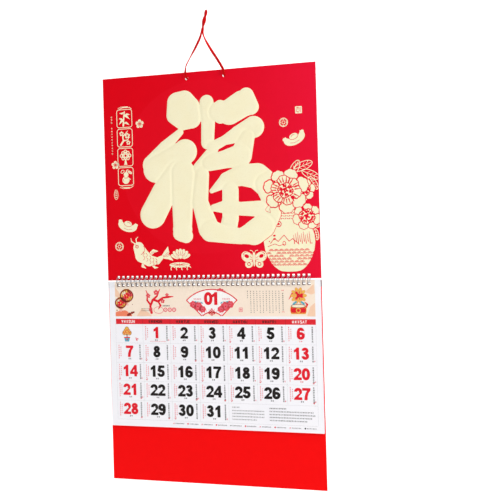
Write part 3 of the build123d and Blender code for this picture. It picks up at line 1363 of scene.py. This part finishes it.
def drumArt():
    # a drum with crossed ribbons, and a golden chrysanthemum over it
    red, cream, gold, orange, brown, cyan, rose = pick(
        "red", "cream", "gold", "orange", "brown", "cyan", "rose"
    )
    area = (128, 166, -61, -11)
    barrel = inside(oval(146.2, -50.4, 13.0, 13.0), block(146.2, -50.6, 27, 12.4, 1.5))
    red.shape(barrel, area, 0.6)
    studs = [disc(136.6 + 2.4 * i, z, 0.6) for i in range(9) for z in (-47.2, -55.4)]
    gold.shape(
        inside(join(*studs, rim(disc(146.2, -51.4, 3.2), 0.7), rim(barrel, 0.5)), grown(barrel, 0.6)),
        area,
        0.4,
    )
    cream.shape(oval(146.2, -44.4, 11.6, 2.7), area, 0.5)
    brown.shape(rim(oval(146.2, -44.4, 11.6, 2.7), 0.45), area, 0.45)
    middle = (147, -27.6)
    petals = [oval(*around(*middle, 8.4, a), 4.8, 2.4, math.degrees(a)) for a in tenths]
    inner = [oval(*around(*middle, 4.4, a + 0.3), 3.4, 1.7, math.degrees(a + 0.3)) for a in tenths]
    orange.shape(join(*[grown(petal, 0.5) for petal in petals], disc(*middle, 6)), area, 0.5)
    gold.shape(layered(petals + inner, 0.75), area, 0.5)
    pageLayers["redTop"].shape(join(*inner[::3], disc(*middle, 1.9)), area, 0.5)
    brown.shape(
        join(rim(disc(*middle, 2.4), 0.5), *[ray(*middle, 0, 7, a, 0.3) for a in tenths[::2]]), area, 0.4
    )
    red.shape(
        join(
            stroke([(139, -20, 0.5), (135, -27, 1.3), (131, -34, 0.3)]),
            stroke([(157, -38, 0.6), (161, -42, 1.5), (158, -50, 0.5)]),
        ),
        area,
        0.5,
    )
    cyan.shape(join(oval(140.6, -39.4, 4.4, 1.7, 35), oval(153.6, -39.4, 4.4, 1.7, -35)), area, 0.5)


def cellPot():
    # a potted kumquat tree in the empty cell before the first
    gold, brown, cyan, red, rose = pick("gold", "brown", "cyan", "redTop", "rose")
    area = (-164, -132, -108, -78)
    crown = discs((-152.6, -87.0, 5.4), (-157.0, -89.4, 3.4), (-148.2, -89.4, 3.4), (-152.6, -82.6, 3.2))
    brown.shape(rim(grown(crown, 0.3), 0.35), area, 0.5)
    gold.shape(crown, area, 0.5)
    small = [(-152.6, -84.6), (-154.9, -88.2), (-149.8, -87.6), (-158.4, -88.4), (-147.0, -88.2)]
    red.shape(join(*[disc(x, z, 1.0) for x, z in small]), area, 0.4)
    large = [(-155.6, -86), (-150.4, -84.6), (-152.8, -89.6), (-148.4, -90), (-157, -90.6)]
    rose.shape(join(*[disc(x, z, 1.15) for x, z in large]), area, 0.4)
    brown.shape(block(-152.6, -94.4, 1.8, 5.6), area, 0.5)
    cyan.shape(outline([(-157.6, -96.6), (-147.6, -96.6), (-148.8, -104.0), (-156.4, -104.0)]), area, 0.5)
    red.shape(join(block(-152.6, -97.2, 11.4, 1.8, 0.6), disc(-152.6, -100.6, 1.4)), area, 0.45)
    red.shape(
        join(stroke([(-136.4, -97.6, 0.6), (-134.6, -102.0, 0.9)]), disc(-133.0, -99.4, 1.1)), area, 0.4
    )


lanternArt()
blossomSpray()
monthFan()
verseColumns()
drumArt()
cellPot()
print("band printed")


foilArt = {"lift": 0.1}


def blossom(cx, cz, size):
    halfPetal = math.radians(36)
    petals = [disc(*around(cx, cz, size * 0.62, a), size * 0.42) for a in fifths]
    rays = [ray(cx, cz, 0, size * 0.72, a, size * 0.045) for a in fifths]
    gaps = [ray(cx, cz, size * 0.3, size, a + halfPetal, size * 0.05) for a in fifths]
    middle = rim(disc(cx, cz, size * 0.26), size * 0.06)
    return cut(join(*petals, disc(cx, cz, size * 0.45)), *gaps, *rays, middle)


def coin(cx, cz, size):
    hole = rim(block(cx, cz, size * 0.62, size * 0.62), 0.4)
    dots = [block(*around(cx, cz, size * 0.62, math.radians(90 * i)), 1.5, 1.5, 0.3) for i in range(4)]
    return join(rim(disc(cx, cz, size), 0.45), rim(disc(cx, cz, size * 0.82), 0.3), hole, *dots)


def ingot(cx, cz, size, turn, mirror):
    # a boat-shaped ingot seen from above its rim
    hull = cut(oval(0, 0, 17.5, 10.5), oval(0, 8.6, 12.5, 8.2))
    hull = join(hull, disc(-15.4, 4.2, 2.6), disc(15.4, 4.2, 2.6))
    dome = oval(0, 3.2, 7.0, 4.4)
    boat = layered([hull, dome], 0.75)
    marks = [
        line([(-4.5, 3.6), (-1.5, 5.6), (2.5, 5.4)], 0.35), line([(-9, -4.4), (-2, -6.8), (6, -6.0)], 0.32)
    ]
    return moved(cut(boat, *marks), cx, cz, size, turn, mirror)


def seal(cx, cz):
    square = block(cx, cz, 11.0, 11.4, 1.0)
    bars = [
        block(cx - 2.6, cz + 2.2, 0.8, 5.0),
        block(cx - 0.6, cz + 2.2, 0.8, 5.0),
        block(cx - 1.6, cz + 3.4, 3.6, 0.7),
    ]
    bars += [
        block(cx + 2.8, cz, 0.8, 8.6),
        block(cx + 1.6, cz + 2.6, 2.6, 0.7),
        block(cx + 1.6, cz - 0.6, 2.6, 0.7),
    ]
    bars += [
        block(cx - 1.8, cz - 2.6, 4.4, 0.7),
        block(cx - 3.6, cz - 1.2, 0.7, 3.2),
        block(cx - 0.6, cz - 3.8, 2.6, 0.7),
    ]
    return cut(square, *bars)


def bamboo():
    stalk = [
        [(-2.6, -12.5, 1.5), (-2.0, -4.6, 1.3)],
        [(-1.9, -3.2, 1.3), (-1.0, 4.6, 1.2)],
        [(-0.8, 6.0, 1.1), (0.2, 12.0, 0.8)],
    ]
    leaves = [
        [(-1.0, 4.8, 0.4), (3.6, 3.6, 2.0), (9.6, -1.6, 0.2)],
        [(-1.0, 4.8, 0.4), (4.4, 7.0, 1.8), (10.0, 6.4, 0.2)],
        [(-1.8, -3.6, 0.4), (-6.0, -4.6, 1.9), (-10.4, -10.0, 0.2)],
        [(-1.8, -3.6, 0.4), (-6.4, -0.6, 1.7), (-10.6, 0.4, 0.2)],
        [(0.0, 11.0, 0.3), (-4.4, 9.0, 1.6), (-9.4, 9.4, 0.2)],
        [(-2.2, -8.0, 0.3), (3.0, -7.6, 1.8), (8.6, -11.6, 0.2)],
    ]
    return join(*chain(*stalk, *leaves))


def plumSprig():
    branch = chain(
        [(-8, -12, 1.7), (-3, -5, 1.3), (-4.4, 2, 1.1), (1.6, 8, 0.7), (5.4, 12, 0.4)],
        [(-3, -5, 1.2), (4, -4, 0.9), (9, 1, 0.5)],
    )
    flowers = [blossom(4.4, 3.4, 4.8), blossom(-6.4, 7.4, 4.0), blossom(6.0, -8.6, 3.8)]
    return layered([join(*branch)] + flowers, 0.4)


def luckyKnot():
    weave = [rim(block(0, 2.6, 9.6, 9.6, 1.5, 45), 0.75), rim(block(0, 2.6, 5.2, 5.2, 0.6, 45), 0.65)]
    places = [(7.6, 2.6), (-7.6, 2.6), (0, 10.0), (4.6, -2.0), (-4.6, -2.0), (4.6, 7.4), (-4.6, 7.4)]
    loops = [rim(disc(x, z, 2.4), 0.7) for x, z in places]
    tassel = [stroke([(d * 0.3, -5.4, 0.5), (d, -13.0, 0.6)]) for d in (-2.2, -0.8, 0.8, 2.2)]
    return join(*weave, *loops, disc(0, -5.4, 1.5), *tassel)


def gourd():
    body = join(
        disc(-0.4, -6.2, 6.6),
        disc(0.2, 3.4, 4.4),
        stroke([(0.2, 6, 1.2), (1.4, 10.5, 0.8), (4.4, 12, 0.4)]),
    )
    sash = [arc(0, 6.5, 9.2, 246, 294, 0.5), line([(3.6, -2.6), (8.6, -5.4)], 0.5)]
    curl = rim(oval(-6.4, 8.6, 3.2, 2.4, 30), 0.5)
    leaf = cut(oval(7.4, 7.0, 4.6, 2.2, -35), line([(4.6, 9.0), (10.0, 5.2)], 0.3))
    shine = arc(-0.4, -6.2, 4.6, 150, 215, 0.4)
    return join(cut(body, sash[0], shine), sash[1], curl, leaf)


def frameColumn():
    parts = []
    for i, motif in enumerate((bamboo(), plumSprig(), luckyKnot(), gourd())):
        cz = 275.4 - 32.9 * i
        parts.append(rim(block(-146.8, cz, 27.6, 30.4, 4.2), 0.55))
        parts.append(moved(motif, -146.4, cz, 0.98))
    for z, flip in ((293.4, 1), (158.2, -1)):
        parts.append(
            line(
                [
                    (-155, z - 1.4 * flip),
                    (-150, z + 0.4 * flip),
                    (-137, z + 0.4 * flip),
                    (-133.6, z - 2.2 * flip),
                ],
                0.5,
            )
        )
        parts.append(line([(-158, z - 0.2 * flip), (-152.6, z + 1.8 * flip), (-140, z + 1.8 * flip)], 0.4))
    return join(*parts)


def carp():
    # a leaping papercut carp
    body = stroke([(-26, 12, 10.5), (-20, -2, 13.5), (-6, -12, 10.5), (10, -13, 6.4), (20, -6, 3.2)])
    tail = join(
        stroke([(20, -6, 2.6), (29, 3, 4.6), (31, 12, 0.8)]),
        stroke([(20, -6, 2.6), (32, -6, 4.4), (40, -12, 0.8)]),
    )
    fins = chain(
        [(-6, -2, 2.6), (3, 5, 3.4), (11, 5, 0.8)], [(-17, -15, 2.2), (-19, -22, 2.6), (-13, -26, 0.6)],
        [(0, -20, 2.0), (5, -25, 2.0), (11, -25, 0.5)],
    )
    cuts = [arc(-24, 9, 9.6, -78, 38, 0.5)]
    scales = [
        (-19, 1), (-13, -2), (-18, -7), (-12, -10), (-6, -7), (-6, -15), (0, -11), (0, -18), (6, -12),
        (6, -17),
    ]
    cuts += [arc(cx, cz, 3.4, -80, 80, 0.42) for cx, cz in scales]
    cuts += [rim(disc(-29, 14, 2.6), 0.55), disc(-29, 14, 0.9), arc(-35, 16, 3.6, -60, 40, 0.45)]
    cuts += [line([(22 + d, -6), (32 + d * 0.4, 3 - d)], 0.38) for d in (0, 3, 6)]
    cuts += [line([(-3 + 3 * i, 0.4), (1 + 3 * i, 4.6)], 0.36) for i in range(3)]
    barbels = chain(
        [(-34, 20, 0.9), (-40, 24, 0.9), (-41, 30, 0.4)], [(-30, 22, 0.9), (-31, 28, 0.9), (-27, 32, 0.4)]
    )
    return join(cut(layered([*fins, tail, body], 0.6), *cuts), *barbels)


def lotus():
    # a papercut lotus over a wave, beside the carp
    leans = (-1.25, 1.25, -0.8, 0.8, -0.38, 0.38, 0.0)
    petals = [oval(10 * math.sin(a), 4 + 7 * math.cos(a), 3.9, 9.0, -math.degrees(a)) for a in leans]
    veins = [
        line([(5 * math.sin(a), 4 + 4 * math.cos(a)), (11 * math.sin(a), 4 + 11 * math.cos(a))], 0.34)
        for a in leans[2:]
    ]
    ribs = [
        line([(-2, -8.6), around(-2, -8.6, 17, t, 4 / 17)], 0.34)
        for t in (0.3, 0.9, 1.6, 2.3, 2.85, 3.8, 4.7, 5.6)
    ]
    leaf = cut(oval(-2, -8.6, 19, 4.6), *ribs)
    curls = [arc(-15 + 10 * i, -15.0, 3.6, 20, 230, 0.75) for i in range(4)]
    return join(cut(layered([leaf] + petals, 0.6), *veins), *curls)


def butterfly():
    # a papercut butterfly
    wings = []
    for side in (-1, 1):
        eye = oval(side * 13.4, 5.6, 4.4, 3.2, side * 28)
        upper = cut(
            oval(side * 12.4, 4.6, 11.2, 9.2, side * 28), eye, arc(side * 12.4, 4.6, 8.6, 20, 160, 0.45)
        )
        lower = cut(oval(side * 9.4, -8.4, 7.4, 6.6, -side * 35), rim(disc(side * 9.6, -8.6, 2.7), 0.6))
        rays = [line([(side * 3.2, 1.0 + d), (side * 8.0, 2.6 + 2.2 * d)], 0.4) for d in (-1.2, 1.2)]
        dots = [disc(side * (18.4 + i), 9.4 - 3.4 * i, 0.8) for i in range(3)]
        wings.append(cut(layered([lower, upper], 0.6), *rays, *dots))
    trunk = join(stroke([(0, 7.4, 1.6), (0, -3.0, 2.0), (0, -12.0, 0.8)]), disc(0, 9.6, 2.1))
    feelers = [
        stroke([(side * 0.6, 11.0, 0.45), (side * 3.6, 15.4, 0.45), (side * 6.6, 15.8, 0.7)])
        for side in (-1, 1)
    ]
    return join(layered([*wings, trunk], 0.6), *feelers)


def peony(cx, cz, size, turn, rings):
    # ruffled petals in rings, cut apart by bold gaps, each with a few rays at its foot
    shapes, cuts = [], []
    for ring, (count, reach, width) in enumerate(rings):
        for i in range(count):
            a = math.radians(turn + 360 * i / count + ring * 29 + dice.uniform(-7, 7))
            px, pz = around(cx, cz, size * reach, a, 0.9)
            lobe = size * width * dice.uniform(0.86, 1.16)
            ruffles = [
                disc(*around(px, pz, lobe * 0.62, a + k), lobe * 0.46) for k in (-1.15, -0.4, 0.4, 1.15)
            ]
            shapes.append(join(disc(*around(px, pz, -lobe * 0.45, a), lobe * 0.72), *ruffles))
            for k in (-0.3, 0.0, 0.3):
                b = a + k * 0.8
                near, far = size * max(reach - width * 0.95, 0.05), size * (
                    reach - width * 0.1 * (1 + abs(k))
                )
                cuts.append(
                    stroke([(*around(cx, cz, near, b, 0.9), 1.15), (*around(cx, cz, far, b, 0.9), 0.3)])
                )
    return cut(layered(shapes, 1.4), *cuts)


def leafSpray():
    # outlined leaves that stand behind the flowers
    leaves = []
    places = [(146, 176, 15, 60), (160, 180, 16, 20), (172, 166, 15, -25), (176, 152, 12, -55)]
    places += [(104, 118, 12, 215), (178.6, 70, 9, -80), (176, 86, 9, -20)]
    for cx, cz, length, turn in places:
        blade = oval(0, 0, length, length * 0.42)
        veins = [line([(-length * 0.9, 0), (length * 0.9, 0)], 0.4)]
        for k in (-0.45, -0.05, 0.35):
            for side in (-1, 1):
                veins.append(line([(length * k, 0), (length * (k + 0.28), side * length * 0.26)], 0.32))
        leaves.append(moved(join(rim(blade, 0.55), inside(join(*veins), blade)), cx, cz, 1, turn))
    border = block(0, headerHeight / 2, 2 * boardHalf - 1.6, headerHeight)
    return inside(join(*leaves), border)


def vase():
    body = [
        (116, 15.5), (121, 13.2), (130, 12.2), (144, 12.4), (151, 13.6), (156, 16.2), (163, 23), (169, 33),
        (173.6, 45), (175.6, 58), (174.6, 70), (170, 82), (162, 90.5), (152, 95.5), (147, 98), (147.6, 103),
        (149.4, 109), (110.2, 109), (112, 103), (112.4, 98), (107, 95), (99.6, 88.4), (94.6, 77), (93.0, 62),
        (95.4, 46), (100.6, 33), (108, 22),
    ]
    shape = grown(outline(body), 1.2)
    lines = []
    for row in range(6):
        z = 20 + row * 4.7
        for i in range(11):
            cx = 100 + i * 8.4 + (row % 2) * 4.2
            if (i * 7 + row * 5) % 9 == 0:
                continue
            for radius in (3.9, 2.2):
                lines.append(arc(cx, z, radius, 15, 165, 0.5))
    lines.append(line([(103, 57), (110, 65), (116, 60), (126, 70), (134, 60), (140, 64), (150, 55)], 0.55))
    lines.append(line([(99, 52), (110, 56), (118, 53), (127, 55.6)], 0.45))
    lines += [
        stroke([(143 + 3.2 * i, 56 + (i % 2) * 3, 0.7), (141.6 + 3.2 * i, 70 + 2.4 * (i % 3), 0.3)])
        for i in range(9)
    ]
    lines += [
        rim(disc(103.6, 82, 4.2), 0.7),
        rim(disc(117.6, 88, 4.2), 0.7),
        disc(103.6, 82, 1.9),
        disc(117.6, 88, 1.9),
    ]
    lines += [
        rim(oval(126.0, 56.6, 2.4, 3.2), 0.5),
        disc(101.4, 60.2, 1.0),
        disc(171, 56.2, 1.0),
        disc(160, 84.2, 0.9),
    ]
    lines += [block(110.0, 69.5 - 5.4 * i, 4.0, 3.0, 0.5, 12 * i) for i in range(2)]
    for row in range(3):
        for i in range(10):
            x, z = 115.4 + 3.2 * i, 95.8 + row * 4.2
            lines.append(line([(x, z + (i * 5) % 2), (x + 1.8, z + 1.6 - (i * 3) % 2)], 0.55))
    return cut(shape, *lines)


def foilLayer(name, lift=foilArt["lift"]):
    return Layer(name, "header", "header_card", foil, cardFace, lift)


def clipped(shape):
    return inside(shape, block(0, headerHeight / 2, 2 * boardHalf - 1.2, headerHeight - 0.4))


def foilPiece(name, shape, area, step):
    layer = foilLayer(name)
    layer.shape(shape, area, step)
    layer.make()


blooms = [
    peony(161, 141, 17.5, 10, ((6, 0.66, 0.4), (4, 0.26, 0.3))),
    peony(130.5, 142, 35.5, 14, ((7, 0.74, 0.30), (6, 0.44, 0.25), (4, 0.16, 0.18))),
    peony(164.5, 99, 21.5, 40, ((7, 0.7, 0.34), (4, 0.28, 0.28))),
]
bud = stroke([(104, 108, 0.8), (100, 112, 3.0), (104, 119, 1.2)])


def vaseGroup():
    pot = cut(vase(), grown(characterShape, 0.9))
    return clipped(layered([cut(leafSpray(), grown(characterShape, 1.0)), pot, bud, *blooms], 1.0))


def flowersOver(shape):
    # the blooms lie over the character's edge, with a red gap round them
    return cut(shape, grown(join(*[grown(bloom, 1.1) for bloom in blooms], bud), 0.7))


character = foilLayer("luckCharacter", reliefLift(reliefParts))
character.shape(flowersOver(characterShape), (-125, 125, 40, 335), reliefPlan["step"])
character.make(50)
print("character raised")
foilPiece("vaseAndPeonies", vaseGroup(), (88, 184.4, 8, 200), 0.6)
foilPiece("framedMotifs", frameColumn(), (-164, -129, 154, 298), 0.55)
foilPiece("blossomUpper", blossom(-119.0, 264.6, 7.2), (-128, -110, 255, 274), 0.5)
foilPiece("blossomLower", blossom(-165.6, 197.0, 6.8), (-174, -157, 188, 206), 0.5)
foilPiece("coinUpper", coin(130.2, 251.4, 6.9), (120, 140, 242, 261), 0.5)
foilPiece("coinLower", coin(-162.2, 57.8, 7.2), (-172, -153, 48, 68), 0.5)
foilPiece("ingotUpper", ingot(147.2, 225.2, 1.04, 22, False), (126, 168, 205, 246), 0.6)
foilPiece("ingotLower", ingot(-146.0, 93.2, 1.0, -16, True), (-168, -124, 74, 114), 0.6)
foilPiece("squareSeal", seal(155.4, 270.0), (147, 164, 262, 278), 0.45)
foilPiece("carpPapercut", moved(carp(), -103, 44, 0.92), (-146, -62, 12, 78), 0.6)
foilPiece("lotusPapercut", moved(lotus(), -52, 33, 0.95), (-76, -28, 12, 60), 0.6)
foilPiece("butterflyPapercut", moved(butterfly(), 75, 32.0, 0.92), (48, 100, 10, 50), 0.6)
ovalBars = [block(-165.6, 151 - 3.1 * i, 3.4, 1.3, 0.3) for i in range(4)]
ovalMark = join(rim(oval(-165.6, 146.4, 3.4, 8.2), 0.4), *ovalBars)
foilPiece("ovalSeal", ovalMark, (-171, -160, 136, 157), 0.45)
smallMarks = foilLayer("sideMarks")
marksDown(smallMarks, -170.4, 281.0, 3, 2.6, 4.6)
marksDown(smallMarks, -170.4, 262.0, 10, 2.4, 4.8)
smallMarks.make()
print("foil ornaments made")

for layer in pageLayers.values():
    if layer.points:
        layer.make()
print("prints laid")


stagePlan = {
    "floor": -0.93, "wall": 1.5, "sweep": 0.7, "height": 2.4, "half": 4.0, "front": -3.5, "air": 0.56
}


def makeStage(plan):
    profile = [(plan["front"], plan["floor"])]
    for i in range(13):
        angle = math.radians(90 * i / 12)
        y = plan["wall"] - plan["sweep"] + plan["sweep"] * math.sin(angle)
        z = plan["floor"] + plan["sweep"] - plan["sweep"] * math.cos(angle)
        profile.append((y, z))
    profile.append((plan["wall"], plan["height"]))
    points = [(x, y, z) for y, z in profile for x in (-plan["half"], plan["half"])]
    faces = [[2 * i, 2 * i + 1, 2 * i + 3, 2 * i + 2] for i in range(len(profile) - 1)]
    mesh = bpy.data.meshes.new("studioSweep")
    mesh.from_pydata(points, [], faces)
    mesh.polygons.foreach_set("use_smooth", [True] * len(faces))
    finish = Finish("studioPaper", Roughness=0.9, Specular_IOR_Level=0.1)
    cloud = finish.noise(3, 2)
    finish.set("Base Color", finish.mix(cloud, (0.93, 0.93, 0.93, 1), (0.9, 0.9, 0.9, 1)))
    mesh.materials.append(finish.material)
    sweep = bpy.data.objects.new("studioSweep", mesh)
    bpy.context.scene.collection.objects.link(sweep)


# each light's place, what it faces, its size in metres and its power
lightPlan = {
    "keyLight": ((2.45, -0.95, 0.95), (0, 0, -0.35), (0.7, 0.7), 50),
    "fillLight": ((-1.9, -1.5, -0.1), (0, 0, -0.4), (1.2, 1.6), 3),
    "wallLight": ((0, 0.35, 1.6), (0, 1.5, -0.2), (3.4, 0.6), 44),
}


def softLight(name, place, target, size, power):
    lamp = bpy.data.lights.new(name, "AREA")
    lamp.shape = "RECTANGLE"
    lamp.size, lamp.size_y = size
    lamp.energy = power
    holder = bpy.data.objects.new(name, lamp)
    aim = (np.array(target) - np.array(place)).tolist()
    holder.location = place
    holder.rotation_euler = Vector(aim).to_track_quat("-Z", "Y").to_euler()
    bpy.context.scene.collection.objects.link(holder)


makeStage(stagePlan)
for name, light in lightPlan.items():
    softLight(name, *light)
world = bpy.data.worlds.new("studioAir")
world.use_nodes = True
air = world.node_tree.nodes["Background"]
air.inputs["Color"].default_value = (1, 1, 1, 1)
air.inputs["Strength"].default_value = stagePlan["air"]
bpy.context.scene.world = world
bpy.context.scene.view_settings.view_transform = "Standard"
print("studio lit")
